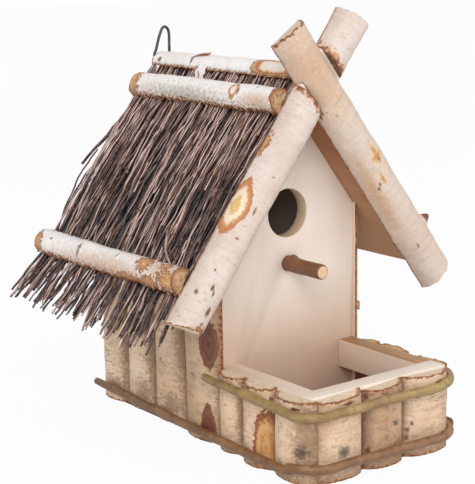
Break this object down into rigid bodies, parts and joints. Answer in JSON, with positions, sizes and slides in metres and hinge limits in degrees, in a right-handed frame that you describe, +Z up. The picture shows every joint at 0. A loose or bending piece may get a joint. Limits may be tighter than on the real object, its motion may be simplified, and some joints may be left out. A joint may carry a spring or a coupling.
{
  "type": "nest box",
  "caption": "Rustic birch nest box: gable house with a round entrance and perch, twig-thatched roof with crossed bargeboards, log-clad feeding tray and a wire hanger.",
  "frame": {"origin": "on the ground below the entrance hole, in the front face of the front wall, on the underside of the base board", "axes": "+X to the right of someone facing the front, +Y to the back, +Z up"},
  "size_m": [0.2405, 0.2507, 0.2799],
  "materials": {
    "planed_board": "planed, unfinished",
    "roof_board": "sawn, unfinished",
    "birch_bark": "birch bark, matt",
    "twig_thatch": "bare twigs",
    "withy": "peeled in places, satin",
    "bark_twig": "brown bark",
    "black_wire": "annealed, dull"
  },
  "bodies": {
    "root": {"base_board": "planed_board", "front_wall": "planed_board", "back_wall": "planed_board", "left_side_board": "planed_board", "right_side_board": "planed_board", "tray_left_rail": "planed_board", "tray_front_rail": "planed_board", "tray_right_rail": "planed_board", "left_roof_board": "roof_board", "right_roof_board": "roof_board", "left_bargeboard": "birch_bark", "right_bargeboard": "birch_bark", "left_upper_batten": "birch_bark", "left_lower_batten": "birch_bark", "right_upper_batten": "birch_bark", "right_lower_batten": "birch_bark", "ridge_batten": "birch_bark", "left_log_1": "birch_bark", "right_log_1": "birch_bark", "left_log_2": "birch_bark", "right_log_2": "birch_bark", "left_log_3": "birch_bark", "right_log_3": "birch_bark", "left_log_4": "birch_bark", "right_log_4": "birch_bark", "tray_left_log_1": "birch_bark", "tray_right_log_1": "birch_bark", "tray_front_log_1": "birch_bark", "tray_left_log_2": "birch_bark", "tray_right_log_2": "birch_bark", "tray_front_log_2": "birch_bark", "tray_left_log_3": "birch_bark", "tray_right_log_3": "birch_bark", "tray_front_log_3": "birch_bark", "left_thatch": "twig_thatch", "right_thatch": "twig_thatch", "upper_withy_band": "withy", "lower_withy_band": "withy", "perch": "bark_twig", "wire_hanger": "black_wire"}
  },
  "joints": []
}
